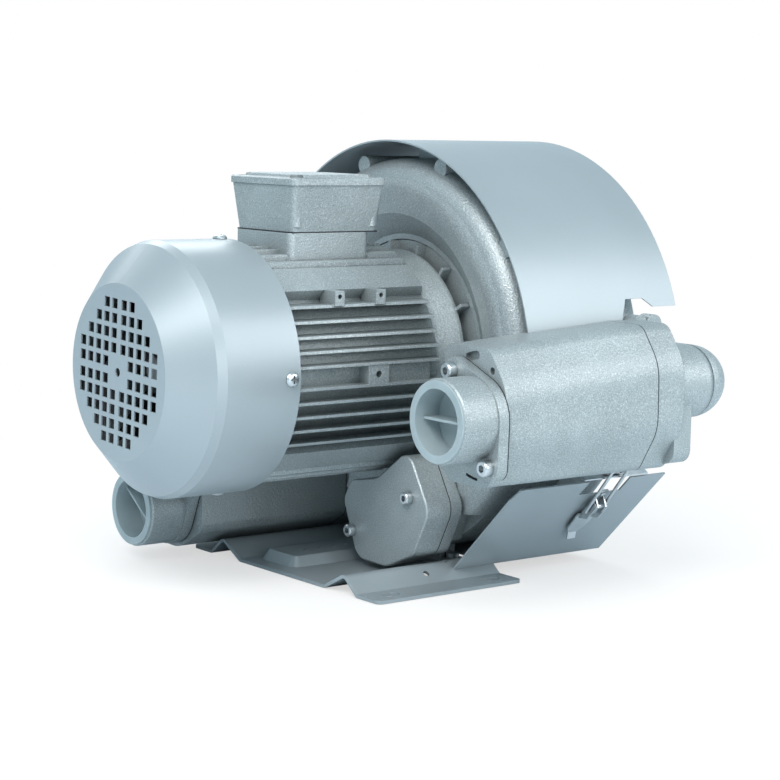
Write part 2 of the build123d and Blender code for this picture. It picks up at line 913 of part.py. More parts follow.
def make_box_gasket():
    middle_x = (box_x0 + box_x1) / 2
    length = box_x1 - box_x0 - 2 * box_draft_x
    outer = Rectangle(length, 2 * (box_half_y - box_draft_y))
    ring = outer - Pos((neck_x0 + neck_x1) / 2 - middle_x, 0) * Circle(20)
    return Pos(middle_x, 0, box_bottom_z - gasket) * extrude(ring, amount=gasket)


def make_terminal_block():
    floor_z = box_bottom_z + box_wall
    middle_x = (box_x0 + box_x1) / 2 + 26
    block = Pos(middle_x, 0, floor_z + 7) * Box(30, 58, 14)
    block -= Pos(middle_x, 0, floor_z + 13) * Box(3, 60, 6)
    studs = []
    for x in (-8, 8):
        for y in (-19, 0, 19):
            studs.append(Pos(middle_x + x, y, floor_z + 18) * Cylinder(2.5, 14))
            studs.append(Pos(middle_x + x, y, floor_z + 17) * extrude(RegularPolygon(4.5, 6), amount=4))
    for stud in studs:
        block += stud
    return block


def make_blanking_plugs():
    plugs = []
    for x in gland_x:
        head = extrude(RegularPolygon(gland_boss - 1, 6), amount=5)
        shank = Cylinder(gland_radius, 11, align=(Align.CENTER, Align.CENTER, Align.MAX))
        plugs.append(facing((x, box_half_y, gland_z), (0, 1, 0)) * (head + shank))
    return group(plugs)


# ---------------------------------------------------------------- blower housings


def channel_face(edge_x, side):
    """Half-round side channel section beside the vanes, opening at edge_x towards the wheel."""
    low = channel_mid - channel_radius
    high = channel_mid + channel_radius
    arc = ThreePointArc((edge_x, low), (edge_x + side * channel_radius, channel_mid), (edge_x, high))
    return make_face([arc, Line((edge_x, high), (edge_x, low))])


def revolved(face):
    """Face drawn as (x, radius), turned about the shaft line."""
    return Pos(0, 0, axis_height) * revolve(Plane.XZ * face, Axis((0, 0, 0), (1, 0, 0)))


def bottom_zone(x0, x1):
    """Region at the bottom where the side channel is interrupted, higher beside the inlet silencer."""
    low = axis_height - 200
    return box_at(x0, x1, -200, 200, low, cut_z) + box_at(x0, x1, cut_far_y, 200, low, cut_far_z)


def side_channel(edge_x, side):
    """The side channel itself: interrupted at the bottom, where the stripper closes it."""
    ring = revolved(channel_face(edge_x, side))
    return ring - bottom_zone(edge_x - 40, edge_x + 40)


def wheel_room(x0, x1, disc_x0, disc_x1, hub_x0, hub_x1):
    """Space that the impeller turns in: vane ring, web and hub, each with its clearance."""
    root = channel_mid - channel_radius - rim_thick - 1
    tip = channel_mid + channel_radius + wheel_gap
    room = ring_x(tip, root, x0, x1)
    room += disc_x(root + 1, disc_x0, disc_x1)
    room += disc_x(hub_radius + hub_gap, hub_x0, hub_x1)
    return room


def bolt_lugs(x0, x1):
    """Round lugs of the housing bolts."""
    return [rod_x(bolt_lug, *polar(bolt_circle, angle), x0, x1) for angle in bolt_angles]


def bolt_holes(x0, x1):
    """Clearance holes of the housing bolts."""
    return [rod_x(bolt_radius + running_fit, *polar(bolt_circle, angle), x0, x1) for angle in bolt_angles]


def make_front_housing():
    inner_x = stage_1_x - disc_half - disc_gap
    low = channel_mid - channel_radius
    step = channel_mid + channel_radius / 2
    outline = (
        Polyline(
            (seal_x - 1, seal_outer + running_fit),
            (seal_x - 1, seal_outer + 4),
            (hub_plate_x, seal_outer + 4),
            (hub_plate_x, collar_radius - 5),
            (collar_x, collar_radius - 5),
            (collar_x, collar_radius),
            (front_x + 5.5, low),
            (front_x + 0.5, low + 16),
        ).edges()
        + [ThreePointArc((front_x + 0.5, low + 16), (front_x - 0.5, step - 6), (front_x + 1.5, step + 2))]
        + [ThreePointArc((front_x + 1.5, step + 2), (front_x + 8, step + 14), (split_1, housing_radius))]
        + Polyline(
            (split_1, housing_radius),
            (split_1, low - rim_thick - 1),
            (inner_x, low - rim_thick - 1),
            (inner_x, seal_outer + running_fit),
            (seal_x - 1, seal_outer + running_fit),
        ).edges()
    )
    housing = revolved(make_face(outline))
    plate_x = split_1 - 6
    housing -= bottom_zone(front_x - 1, plate_x)
    for lug in bolt_lugs(split_1 - bolt_lug_front, split_1):
        housing += lug
    back_flange_x = cover_x0 + cover_thick + gasket
    flange = bar(cover_face(0), back_flange_x, back_flange_x + cover_back_flange)
    neck = bar(cover_face(neck_inset), back_flange_x + cover_back_flange, plate_x + 1)
    inside = disc_x(low - rim_thick, front_x, split_1)
    inlet = bar(far_section(0, 1), inlet_x, split_1)
    housing += flange + (neck - inside) + inlet
    housing -= side_channel(split_1, -1)
    housing -= disc_x(hub_radius + hub_gap, stage_1_x - hub_half - hub_gap, inner_x + 1)
    housing -= bar(far_section(silencer_wall + 4, 1), inlet_x - 1, split_1 + 1)
    housing -= rod_x(passage_radius, *passage, back_flange_x - 1, split_1 + 3)
    for hole in bolt_holes(split_1 - bolt_lug_front + 3, split_1 + 1):
        housing -= hole
    tapped_z = axis_height + bell_bolt_circle
    tapped = rod_x(bolt_radius + running_fit, 0, tapped_z, hub_plate_x - 1, hub_plate_x + plate_thick - 1)
    for part in on_circle(tapped, bell_bolts):
        housing -= part
    for y, z in cover_screws:
        hole_end = back_flange_x + cover_back_flange + 1
        housing -= rod_x(bolt_radius + running_fit, y, z, back_flange_x - 1, hole_end)
    return housing


def make_middle_housing():
    housing = disc_x(housing_radius, split_1, split_2)
    rim = housing_radius + 5
    floor = housing_radius - 4.5
    slope = floor + 2.5
    housing -= turned([(96, rim), (96, slope), (99, floor), (115, floor), (118, slope), (118, rim)])
    for lug in bolt_lugs(split_1, split_2):
        housing += lug
    foot = box_at(foot_x0, foot_x1, -50, 50, base_thick, base_thick + 30)
    for side in (-1, 1):
        y0, y1 = sorted((side * 48, side * foot_half_y))
        foot += box_at(foot_x0, foot_x1, y0, y1, base_thick, base_thick + foot_ear_z)
        foot -= Pos((foot_x0 + foot_x1) / 2, side * foot_screw_y, 0) * Cylinder(bolt_radius + running_fit, 60)
    housing += foot - disc_x(housing_radius - 3, 0, 300)
    housing += bar(far_section(0, 1), split_1, inlet_end_x)
    duct = bar(far_section(silencer_wall + 4, 1), split_1 - 1, inlet_end_x - 12)
    housing -= duct - disc_x(housing_radius - 1, 0, 200)
    housing -= box_at(channel_1_rear + 2, channel_1_rear + 16, 84, 126, cut_z + 2, cut_z + 20)
    wheel_1_x = stage_1_x + disc_half + disc_gap
    wheel_2_x = stage_2_x - disc_half - disc_gap
    hub_end = stage_1_x + hub_half + hub_gap
    housing -= wheel_room(split_1 - 1, channel_1_rear, split_1 - 1, wheel_1_x, split_1 - 1, hub_end)
    housing -= side_channel(channel_1_rear, 1)
    housing -= side_channel(split_2, -1)
    housing -= disc_x(spacer_radius + 0.6, split_1, split_2 + 20)
    low = channel_mid - channel_radius - rim_thick - 1
    nose = ring_x(low - disc_gap, hub_radius + hub_gap, split_2, wheel_2_x)
    housing += nose
    housing -= disc_x(hub_radius + hub_gap, stage_2_x - hub_half - hub_gap, split_2 + 20)
    for hole in bolt_holes(split_1 - 1, split_2 + 1):
        housing -= hole
    return housing


def make_rear_housing():
    inner_x = stage_2_x + disc_half + disc_gap
    low = channel_mid - channel_radius
    back_x = channel_2_rear + channel_radius + housing_wall - 0.5
    plate_x = inner_x + plate_thick
    bearing_x1 = rear_bearing_x + bearing_width
    step = channel_mid + channel_radius / 2
    outline = (
        Polyline(
            (split_2, 0),
            (split_2, housing_radius),
            (split_2 + 30, housing_radius),
        ).edges()
        + [ThreePointArc((split_2 + 30, housing_radius), (back_x - 6, step + 12), (back_x, step - 2))]
        + Polyline(
            (back_x, step - 2),
            (back_x, low + 12),
            (back_x - 6, low),
            (plate_x, low - 22),
            (plate_x, 58),
            (plate_x + 4, rear_bearing_outer + 16),
            (bearing_x1, rear_bearing_outer + 13),
            (bearing_x1, 0),
            (split_2, 0),
        ).edges()
    )
    housing = revolved(make_face(outline))
    rib_z = axis_height + rear_bearing_outer + 8
    rib = box_at(plate_x - 1, back_x - 4, -2.5, 2.5, rib_z, axis_height + low + 4)
    for part in on_circle(rib, 6, 30):
        housing += part
    for lug in bolt_lugs(split_2, split_2 + bolt_lug_rear):
        housing += lug
    stub_end = Pos(outlet_x, outlet_face_y + 34, outlet_z) * Sphere(outlet_radius)
    housing += pipe_y(outlet_radius, outlet_face_y, outlet_face_y + 34)
    housing += stub_end - disc_x(low, 0, 300)
    hub_end = stage_2_x + hub_half + hub_gap
    housing -= wheel_room(split_2 - 1, channel_2_rear, split_2 - 1, inner_x, split_2 - 1, hub_end)
    housing -= side_channel(channel_2_rear, 1)
    housing -= pipe_y(outlet_radius - outlet_wall, outlet_face_y - 1, outlet_face_y + 34)
    housing -= disc_x(rear_bearing_outer + running_fit, rear_bearing_x, bearing_x1 + 1)
    housing -= disc_x(nut_radius + 3, split_2, rear_bearing_x + 0.01)
    for hole in bolt_holes(split_2 - 1, split_2 + bolt_lug_rear + 1):
        housing -= hole
    for angle in bolt_angles:
        housing -= rod_x(bolt_head_room, *polar(bolt_circle, angle), split_2 + bolt_lug_rear, back_x + 10)
    return housing


def pipe_y(radius, y0, y1):
    """Round bar along Y on the outlet's centre line."""
    return Pos(outlet_x, (y0 + y1) / 2, outlet_z) * Rot(90, 0, 0) * Cylinder(radius, y1 - y0)


def make_rear_cover():
    x0 = rear_bearing_x + bearing_width
    return turned([(x0, 0), (x0, 38), (x0 + 4, 38), (x0 + 7, 28), (x0 + 7, 0)])


def make_housing_screws():
    head_x = split_2 + bolt_lug_rear
    screw = socket_screw(bolt_head_radius, 7, bolt_radius, head_x - split_1 + bolt_lug_front - 3)
    screws = []
    for angle in bolt_angles:
        y, z = polar(bolt_circle, angle)
        screws.append(screw_along(screw, (head_x, y, z), (1, 0, 0)))
    return group(screws)


def make_foot_screws():
    screw = socket_screw(6, 4.5, bolt_radius, base_thick + foot_ear_z - 0.5)
    x = (foot_x0 + foot_x1) / 2
    return group([Pos(x, y, base_thick + foot_ear_z) * screw for y in (-foot_screw_y, foot_screw_y)])


def make_shaft_seal():
    x0 = seal_x
    return turned(
        [
            (x0, shaft_seat_radius + 1.5),
            (x0, seal_outer),
            (x0 + 8, seal_outer),
            (x0 + 8, seal_outer - 2),
            (x0 + 2, seal_outer - 2),
            (x0 + 3, shaft_seat_radius + 3),
            (x0 + 7, shaft_seat_radius + 3),
            (x0 + 4, shaft_seat_radius + running_fit),
        ]
    )


# ---------------------------------------------------------------- hood and lower shroud


def hood_disc(radius, x0, x1):
    """Round bar on the hood's own centre line."""
    return rod_x(radius, 0, hood_centre_z, x0, x1)


def make_hood():
    hood = hood_disc(hood_radius, hood_x0, hood_x1) - hood_disc(hood_radius - sheet, hood_x0 - 1, hood_x1 + 1)
    hood -= box_at(hood_x0 - 1, hood_x1 + 1, -250, 250, hood_centre_z - 250, hood_bottom_z)
    window = make_face(
        Polyline(
            (window_x, 120),
            (window_x, 239),
            (window_x + 7, 254.5),
            (window_x + 28, 254.5),
            (window_x + 39, 247),
            (hood_x1 + 5, 247),
            (hood_x1 + 5, hood_bottom_z - 5),
            (keeper_x[1], hood_bottom_z - 5),
            (keeper_x[1], 120),
            close=True,
        )
    )
    hood -= Pos(0, -100, 0) * extrude(Plane.XZ * window, amount=150)
    return hood, make_lip()


def make_lip():
    """Folded lip under the near edge of the hood: flat, then turned down square to the bail's pull."""
    bend_y = seat_y + seat_to_bend
    inner_y = bend_y + sheet * tan(radians(lip_slope / 2))
    along = (-cos(radians(lip_slope)), -sin(radians(lip_slope)))
    square = (sin(radians(lip_slope)), -cos(radians(lip_slope)))
    tip = (bend_y + lip_turned * along[0], keeper_z + lip_turned * along[1])
    points = [
        (-150, keeper_z - sheet),
        (-150, keeper_z),
        (bend_y, keeper_z),
        tip,
        (tip[0] + sheet * square[0], tip[1] + sheet * square[1]),
        (inner_y, keeper_z - sheet),
    ]
    lip = bar(make_face(Polyline(points, close=True)), keeper_x[0], keeper_x[1])
    return lip - hood_disc(hood_radius, 0, 300)


def make_keepers():
    """Lips that the bails hook over, one on each lower edge of the hood."""
    near = make_hood()[1]
    return group([near, mirror(near, Plane.XZ)])


def make_hood_brackets():
    inner = hood_disc(hood_radius - sheet, 0, 300)
    outer = disc_x(housing_radius, 0, 300)
    brackets = []
    for angle in bracket_angles:
        low = axis_height + 170
        post = box_at(bracket_x[0] - 3, bracket_x[0], -16, 16, low, low + 60)
        foot = box_at(bracket_x[0] - 3, bracket_x[1], -16, 16, low, axis_height + housing_radius + 2)
        turned_foot = Pos(0, 0, axis_height) * Rot(angle - 90, 0, 0) * Pos(0, 0, -axis_height) * (post + foot)
        brackets.append((turned_foot & inner) - outer)
    return group(brackets)


def panel_face(side):
    """Slanting panel of the lower shroud in (Y, Z), its outer skin on the plane y + z."""
    y0 = panel_sum + panel_bottom_z
    y1 = panel_sum + panel_top_z
    step = sheet / sqrt(2)
    points = [
        (side * y0, panel_bottom_z),
        (side * y1, panel_top_z),
        (side * (y1 - step), panel_top_z + step),
        (side * (y0 - step), panel_bottom_z + step),
    ]
    return make_face(Polyline(points, close=True))


def make_lower_shroud():
    near = bar(panel_face(-1), panel_x0, panel_x1)
    far = bar(panel_face(1), inlet_end_x + pan_gap, panel_x1)
    pan_y = panel_sum + panel_bottom_z
    pan = box_at(base_half_x + pan_gap, panel_x1, -pan_y, pan_y, panel_bottom_z, panel_bottom_z + sheet)
    above = panel_top_z + 5
    edge_x = panel_x0 - 1
    corner = make_face(Polyline((edge_x, panel_top_z - panel_corner), (panel_x0 + 5, above), (edge_x, above), close=True))
    near -= Pos(0, -100, 0) * extrude(Plane.XZ * corner, amount=150)
    shroud = near + far + pan
    for side in (-1, 1):
        y0, y1 = sorted((side * 150, side * 220))
        shroud -= box_at(notch_x[0], notch_x[1], y0, y1, panel_top_z - notch_depth, panel_top_z + 5)
    return shroud


# ---------------------------------------------------------------- silencers


def silencer_section(inset, rise):
    """Section of a silencer about its middle: the hood side is +x, the outer side -x."""
    deep = silencer_half_deep
    tall = silencer_half_tall
    top = tall + silencer_rise * rise
    outline = FilletPolyline(
        (deep - 6, top - 2),
        (-deep + 24, top - 2),
        (-deep + 2, top - 34),
        (-deep + 1, -20),
        (-deep + 23, -tall),
        (deep - 16, -tall),
        (deep - 6, -tall + 10),
        radius=silencer_corners,
        close=True,
    )
    outline = make_face(outline)
    if inset > 0:
        outline = offset(outline, amount=-inset)
    return outline


def near_section(inset, rise):
    return Pos(*near_body) * silencer_section(inset, rise)


def far_section(inset, rise):
    return Pos(*far_body) * Rot(0, 0, 90) * mirror(silencer_section(inset, rise), Plane.XZ)


def silencer_body(x0, x1, section, port):
    """Cast silencer body: drafted shell, closed at the port end, open at the blower end."""
    body = loft([yz(x0) * section(0, 0), yz(x1) * section(0, 1)])
    hollow = loft([yz(x0 + 6) * section(silencer_wall, 0.05), yz(x1 + 1) * section(silencer_wall, 1)])
    body -= hollow
    body -= rod_x(liner_outer - liner_wall, *port, x0 - 1, x0 + 8)
    return body


def port_screw_places(port, turn):
    """Centres of the two flange screws of a port."""
    y = port_screw_reach * sin(radians(port_screw_tilt + turn))
    z = port_screw_reach * cos(radians(port_screw_tilt + turn))
    return [(port[0] + y, port[1] + z), (port[0] - y, port[1] - z)]


def make_silencer_near():
    x0 = near_port_x + stub_length + flange_thick + gasket
    x1 = x0 + silencer_length
    body = silencer_body(x0, x1, near_section, near_port)
    # The hood passes close behind: the casting steps back from it.
    step_x = hood_x0 - 3 * hood_gap
    step_y = -hood_radius - hood_gap
    body -= box_at(step_x, x1 + 1, step_y, step_y + 60, 0, 400)
    wall = bar(near_section(0, 1), step_x, x1) & box_at(step_x, x1, step_y - silencer_wall, step_y, 0, 400)
    wall &= loft([yz(x0) * near_section(0, 0), yz(x1) * near_section(0, 1)])
    body += wall
    web = bar(near_section(0, 0), step_x - silencer_wall, step_x)
    body += web & box_at(step_x - silencer_wall, step_x, step_y - silencer_wall, step_y + 60, 0, 400)
    for y, z in port_screw_places(near_port, 0):
        body -= rod_x(port_screw_radius + running_fit, y, z, x0 - 1, x0 + 7)
    pockets = SlotArc(CenterArc((0, 0), end_slot_radius, 70, 12), 7)
    pockets += SlotArc(CenterArc((0, 0), end_slot_radius, -86, 14), 2.4)
    pockets += Pos(*end_hole) * Circle(end_hole_radius)
    return body - bar(Pos(*near_port) * pockets, x0 - 1, x0 + end_pocket_depth)


def make_silencer_far():
    x0 = far_port_x + stub_length + flange_thick + gasket
    body = silencer_body(x0, x0 + far_silencer_length, far_section, far_port)
    for y, z in port_screw_places(far_port, -90):
        body -= rod_x(port_screw_radius + running_fit, y, z, x0 - 1, x0 + 7)
    return body


def port_flange_face(port, turn):
    """Two-bolt flange outline: a round middle drawn out to two ears."""
    edges = Circle(stub_radius + 1).edges()
    for y, z in port_screw_places((0, 0), turn):
        edges += (Pos(y, z) * Circle(flange_ear)).edges()
    return Pos(*port) * make_hull(edges)


def make_port_flange(port_x, port, turn):
    x1 = port_x + stub_length
    flange = bar(port_flange_face(port, turn), x1, x1 + flange_thick)
    stub = rod_x(stub_radius, *port, port_x, x1)
    stub = chamfer(stub.edges().sort_by(Axis.X)[0], 1.5)
    flange += stub
    flange -= rod_x(stub_bore, *port, port_x - 1, x1 + flange_thick + 1)
    for y, z in port_screw_places(port, turn):
        flange -= rod_x(port_screw_radius + running_fit, y, z, x1 - 1, x1 + flange_thick + 1)
        flange -= rod_x(7.5, y, z, port_x + 6, x1)
    return flange


def make_port_gaskets():
    gaskets = []
    for port_x, port, turn in ((near_port_x, near_port, 0), (far_port_x, far_port, -90)):
        x0 = port_x + stub_length + flange_thick
        sheet_part = bar(port_flange_face(port, turn), x0, x0 + gasket)
        sheet_part -= rod_x(stub_bore, *port, x0 - 1, x0 + 2)
        for y, z in port_screw_places(port, turn):
            sheet_part -= rod_x(port_screw_radius + running_fit, y, z, x0 - 1, x0 + 2)
        gaskets.append(sheet_part)
    return group(gaskets)


def make_port_screws():
    screw = socket_screw(6.5, 8, port_screw_radius, flange_thick + gasket + 6)
    screws = []
    for port_x, port, turn in ((near_port_x, near_port, 0), (far_port_x, far_port, -90)):
        for y, z in port_screw_places(port, turn):
            screws.append(screw_along(screw, (port_x + stub_length, y, z), (-1, 0, 0)))
    return group(screws)


def make_port_plug(port_x, port, turn):
    """Push-in transport plug: lip on the port face, cup in the bore, grip web across it."""
    x1 = port_x + plug_depth
    inner = stub_bore - plug_wall
    plug = rod_x(plug_lip, *port, port_x - plug_lip_thick, port_x)
    plug += rod_x(stub_bore - running_fit, *port, port_x, x1)
    plug -= rod_x(inner, *port, port_x - plug_lip_thick - 1, x1 - 2)
    web = bar(Pos(*port) * Rot(0, 0, turn) * Rectangle(2 * inner + 1, 2), port_x + 7, x1)
    return plug + web


def make_liners():
    near_x0 = near_port_x + stub_length + flange_thick + gasket + 6
    near_x1 = near_x0 + liner_length
    far_x0 = far_port_x + stub_length + flange_thick + gasket + 6
    far_x1 = far_x0 + liner_length
    liners = []
    for x0, x1, port in ((near_x0, near_x1, near_port), (far_x0, far_x1, far_port)):
        tube = rod_x(liner_outer, *port, x0, x1) - rod_x(liner_outer - liner_wall, *port, x0 - 1, x1 + 1)
        liners.append(tube)
    return group(liners)


def make_silencer_gaskets():
    near_x = near_port_x + stub_length + flange_thick + gasket + silencer_length
    far_x = far_port_x + stub_length + flange_thick + gasket + far_silencer_length
    near = bar(near_section(0, 1) - near_section(silencer_wall, 1), near_x, near_x + gasket)
    near -= box_at(near_x - 1, near_x + 2, -hood_radius - hood_gap, 0, 0, 400)
    far = bar(far_section(0, 1) - far_section(silencer_wall, 1), far_x, far_x + gasket)
    return group([near, far])


def make_manifold():
    """Outlet casting: ring on the silencer, stepped block, round elbow into the rear housing."""
    x0 = near_port_x + stub_length + flange_thick + 2 * gasket + silencer_length
    x1 = x0 + manifold_ring
    y0, y1 = manifold_block_y
    z0, z1 = manifold_block_z
    ring = bar(near_section(0, 1), x0, x1) & box_at(x0, x1, -300, -hood_radius - hood_gap, 0, 400)
    block_face = Pos((y0 + y1) / 2, (z0 + z1) / 2) * fillet(Rectangle(y1 - y0, z1 - z0).vertices(), 12)
    block = bar(block_face, x1 - 4, manifold_block_x1)
    centre = Pos(outlet_x, manifold_y, outlet_z)
    neck = rod_x(outlet_radius, manifold_y, outlet_z, x1 - 4, outlet_x)
    saddle = make_face(
        Polyline(
            (x1 - 3, outlet_z),
            (x1 - 3, saddle_top),
            (manifold_lugs[1][0] + 8, saddle_top),
            (outlet_x + 18, outlet_z + 12),
            (outlet_x + 18, outlet_z),
            close=True,
        )
    )
    saddle = Pos(0, saddle_y[1], 0) * extrude(Plane.XZ * saddle, amount=saddle_y[1] - saddle_y[0])
    for x, z in manifold_lugs:
        saddle += Pos(x, sum(saddle_y) / 2, z) * Rot(90, 0, 0) * Cylinder(manifold_lug, saddle_y[1] - saddle_y[0])
    body = ring + block + neck + centre * Sphere(outlet_radius) + saddle
    body += pipe_y(outlet_radius, manifold_y, outlet_face_y)
    body -= box_at(x0 - 1, window_x + 1, -hood_radius - hood_gap, 0, 0, 400)
    body -= centre * Sphere(outlet_radius - outlet_wall)
    body -= pipe_y(outlet_radius - outlet_wall, manifold_y, outlet_face_y + 1)
    body -= rod_x(outlet_radius - outlet_wall, manifold_y, outlet_z, x1 - 8, outlet_x)
    mouth = bar(near_section(silencer_wall, 1), x0 - 1, x1 - 6)
    mouth &= box_at(x0 - 2, x1, -300, -hood_radius - hood_gap - silencer_wall, 0, 400)
    return body - mouth


# ---------------------------------------------------------------- crossover cover


def cover_face(inset):
    """Lobed outline of the crossover cover."""
    outline = make_face(FilletPolyline(*cover_outline, radius=cover_corners, close=True))
    if inset > 0:
        outline = offset(outline, amount=-inset)
    return outline


def make_crossover_cover():
    x1 = cover_x0 + cover_thick
    cover = bar(cover_face(0), cover_x0, x1)
    cover = chamfer(cover.faces().sort_by(Axis.X)[0].edges(), 1.2)
    cover -= bar(cover_face(cover_wall), cover_x0 + cover_wall, x1 + 1)
    for y, z in cover_screws:
        boss = rod_x(9, y, z, cover_x0 + 1, x1) & bar(cover_face(0.5), cover_x0, x1)
        cover += boss
        cover -= rod_x(bolt_radius + running_fit, y, z, cover_x0 - 1, x1 + 1)
    return cover


def make_crossover_gasket():
    x0 = cover_x0 + cover_thick
    seal = bar(cover_face(0) - cover_face(cover_wall), x0, x0 + gasket)
    for y, z in cover_screws:
        seal -= rod_x(bolt_radius + running_fit, y, z, x0 - 1, x0 + 2)
    return group(seal.solids())


def make_crossover_screws():
    screw = socket_screw(5.5, 7, bolt_radius, cover_thick + gasket + cover_back_flange - 1)
    return group([screw_along(screw, (cover_x0, y, z), (-1, 0, 0)) for y, z in cover_screws])


# ---------------------------------------------------------------- toggle latches


def latch_frame():
    """Latch axes on the near panel: x along the blower, y up the panel, z outwards from it."""
    y = -panel_sum - latch_pivot_z
    return Plane(origin=(latch_x, y, latch_pivot_z), x_dir=(1, 0, 0), z_dir=(0, -1, -1)).location


def pin_x(radius, half_length, up, out):
    """Round bar along the latch's x axis."""
    return Pos(0, up, out) * Rot(0, 90, 0) * Cylinder(radius, 2 * half_length)


def make_latch_base():
    thin = plate_thick_thin
    half = ear_inner + thin
    plate = Pos(0, 0, thin / 2) * Box(2 * half, 32, thin)
    ear_top = latch_pivot_up + 4
    ear_face = make_face(Polyline((-9, thin / 2), (8, thin / 2), (4, ear_top), (-4, ear_top), close=True))
    base = plate
    for side in (-1, 1):
        x0 = ear_inner if side > 0 else -ear_inner - thin
        ear = extrude(Plane.YZ * ear_face, amount=thin)
        base += Pos(x0, 0, 0) * ear
    base += pin_x(latch_pin_radius, cheek_inner + thin + 0.1, 0, latch_pivot_up)
    for up in (-12.5, 12.5):
        base += Pos(0, up, thin) * Cylinder(2.4, 1.6, align=(Align.CENTER, Align.CENTER, Align.MIN))
    return latch_frame() * base


def make_latch_lever():
    thin = plate_thick_thin
    low = thin + 1.1
    top = latch_pivot_up + 4
    cheek_face = make_face(
        Polyline((4.5, latch_pivot_up - 3), (4.5, top), (-13, top), (-22, low), (-6, low), close=True)
    )
    lever = None
    for x0 in (cheek_inner, -cheek_inner - thin):
        cheek = Pos(x0, 0, 0) * extrude(Plane.YZ * cheek_face, amount=thin)
        lever = cheek if lever is None else lever + cheek
    blade_face = make_face(
        Polyline(
            (-lever_half_width, -15),
            (lever_half_width, -15),
            (lever_half_width - 2, -lever_reach + 8),
            (lever_half_width - 7, -lever_reach),
            (-lever_half_width + 7, -lever_reach),
            (-lever_half_width + 2, -lever_reach + 8),
            close=True,
        )
    )
    blade = Pos(0, 0, low) * extrude(blade_face, amount=thin)
    lever += blade
    lip = Box(2 * lever_half_width - 14, 7, thin, align=(Align.CENTER, Align.MAX, Align.MIN))
    lever += Pos(0, -lever_reach, low) * Rot(-35, 0, 0) * lip
    lever -= pin_x(latch_pin_radius + running_fit, 20, 0, latch_pivot_up)
    lever -= pin_x(bail_wire + running_fit, 20, -latch_arm, latch_pivot_up - latch_dip)
    return latch_frame() * lever


def make_latch_bail():
    """Wire bail in the latch's own axes: two legs up past the hood's lip and a bar over it."""
    up0 = -latch_arm
    out0 = latch_pivot_up - latch_dip
    off = bail_wire + bail_gap
    slope = radians(lip_slope)
    seat_z = keeper_z - seat_to_bend * tan(slope)
    lip_up, lip_out = latch_coordinates(seat_y - off * sin(slope), seat_z + off * cos(slope))
    knee_up, knee_out = latch_coordinates(*knee_at)
    half = bail_half_width
    route = (
        (-cheek_inner + 0.2, up0, out0),
        (-half, up0, out0),
        (-half, knee_up, knee_out),
        (-half, lip_up, lip_out),
        (half, lip_up, lip_out),
        (half, knee_up, knee_out),
        (half, up0, out0),
        (cheek_inner - 0.2, up0, out0),
    )
    parts = None
    for start, end in zip(route, route[1:]):
        run = Vector(*end) - Vector(*start)
        wire = Plane(origin=start, z_dir=run) * extrude(Circle(bail_wire), amount=run.length)
        joint = Pos(*start) * Sphere(bail_wire)
        parts = wire if parts is None else parts + wire + joint
    return latch_frame() * parts


def latch_coordinates(y, z):
    """Position of (y, z) in the latch's axes, as (up, out)."""
    dy = y + panel_sum + latch_pivot_z
    dz = z - latch_pivot_z
    return ((dz - dy) / sqrt(2), -(dz + dy) / sqrt(2))


def write(name, part):
    part.label = name
    export_step(part, "parts/" + name + ".step")


def main():
    os.makedirs("parts", exist_ok=True)
    hood = make_hood()[0]
    nodes = {
        "base_plate": make_base_plate(),
        "fan_cowl": make_fan_cowl(),
        "cowl_screws": make_cowl_screws(),
        "motor_frame": make_motor_frame(),
        "end_shield": make_end_shield(),
        "end_bearing": make_end_bearing(),
        "front_bearing": make_front_bearing(),
        "rear_bearing": make_rear_bearing(),
        "stator_core": make_stator_core(),
        "end_windings": make_windings(),
        "bell_flange": make_bell(),
        "bell_screws": make_bell_screws(),
        "motor_shaft": make_shaft(),
        "impeller_keys": make_keys(),
        "rotor_core": make_rotor_core(),
        "cooling_fan": make_cooling_fan(),
        "impeller_stage_1": make_impeller(stage_1_x),
        "impeller_stage_2": make_impeller(stage_2_x),
        "impeller_spacer": make_spacer(),
        "impeller_nut": make_nut(),
        "shaft_seal": make_shaft_seal(),
        "terminal_box": make_terminal_box(),
        "terminal_lid": make_lid(),
        "lid_screws": make_lid_screws(),
        "terminal_box_gasket": make_box_gasket(),
        "terminal_block": make_terminal_block(),
        "blanking_plugs": make_blanking_plugs(),
        "front_housing": make_front_housing(),
        "middle_housing": make_middle_housing(),
        "rear_housing": make_rear_housing(),
        "rear_bearing_cover": make_rear_cover(),
        "housing_screws": make_housing_screws(),
        "foot_screws": make_foot_screws(),
        "hood": hood,
        "latch_keepers": make_keepers(),
        "hood_brackets": make_hood_brackets(),
        "lower_shroud": make_lower_shroud(),
        "silencer_near": make_silencer_near(),
        "silencer_far": make_silencer_far(),
        "port_flange_near": make_port_flange(near_port_x, near_port, 0),
        "port_flange_far": make_port_flange(far_port_x, far_port, -90),
        "port_gaskets": make_port_gaskets(),
        "port_screws": make_port_screws(),
        "port_plug_near": make_port_plug(near_port_x, near_port, 0),
        "port_plug_far": make_port_plug(far_port_x, far_port, 35),
        "silencer_liners": make_liners(),
        "silencer_gaskets": make_silencer_gaskets(),
        "outlet_manifold": make_manifold(),
        "crossover_cover": make_crossover_cover(),
        "crossover_gasket": make_crossover_gasket(),
        "crossover_screws": make_crossover_screws(),
        "latch_base_near": make_latch_base(),
        "latch_lever_near": make_latch_lever(),
        "latch_bail_near": make_latch_bail(),
        "latch_base_far": mirror(make_latch_base(), Plane.XZ),
        "latch_lever_far": mirror(make_latch_lever(), Plane.XZ),
        "latch_bail_far": mirror(make_latch_bail(), Plane.XZ),
    }
    for name, part in nodes.items():
        write(name, part)


main()
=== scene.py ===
import json
import math

import bpy
from mathutils import Matrix, Vector


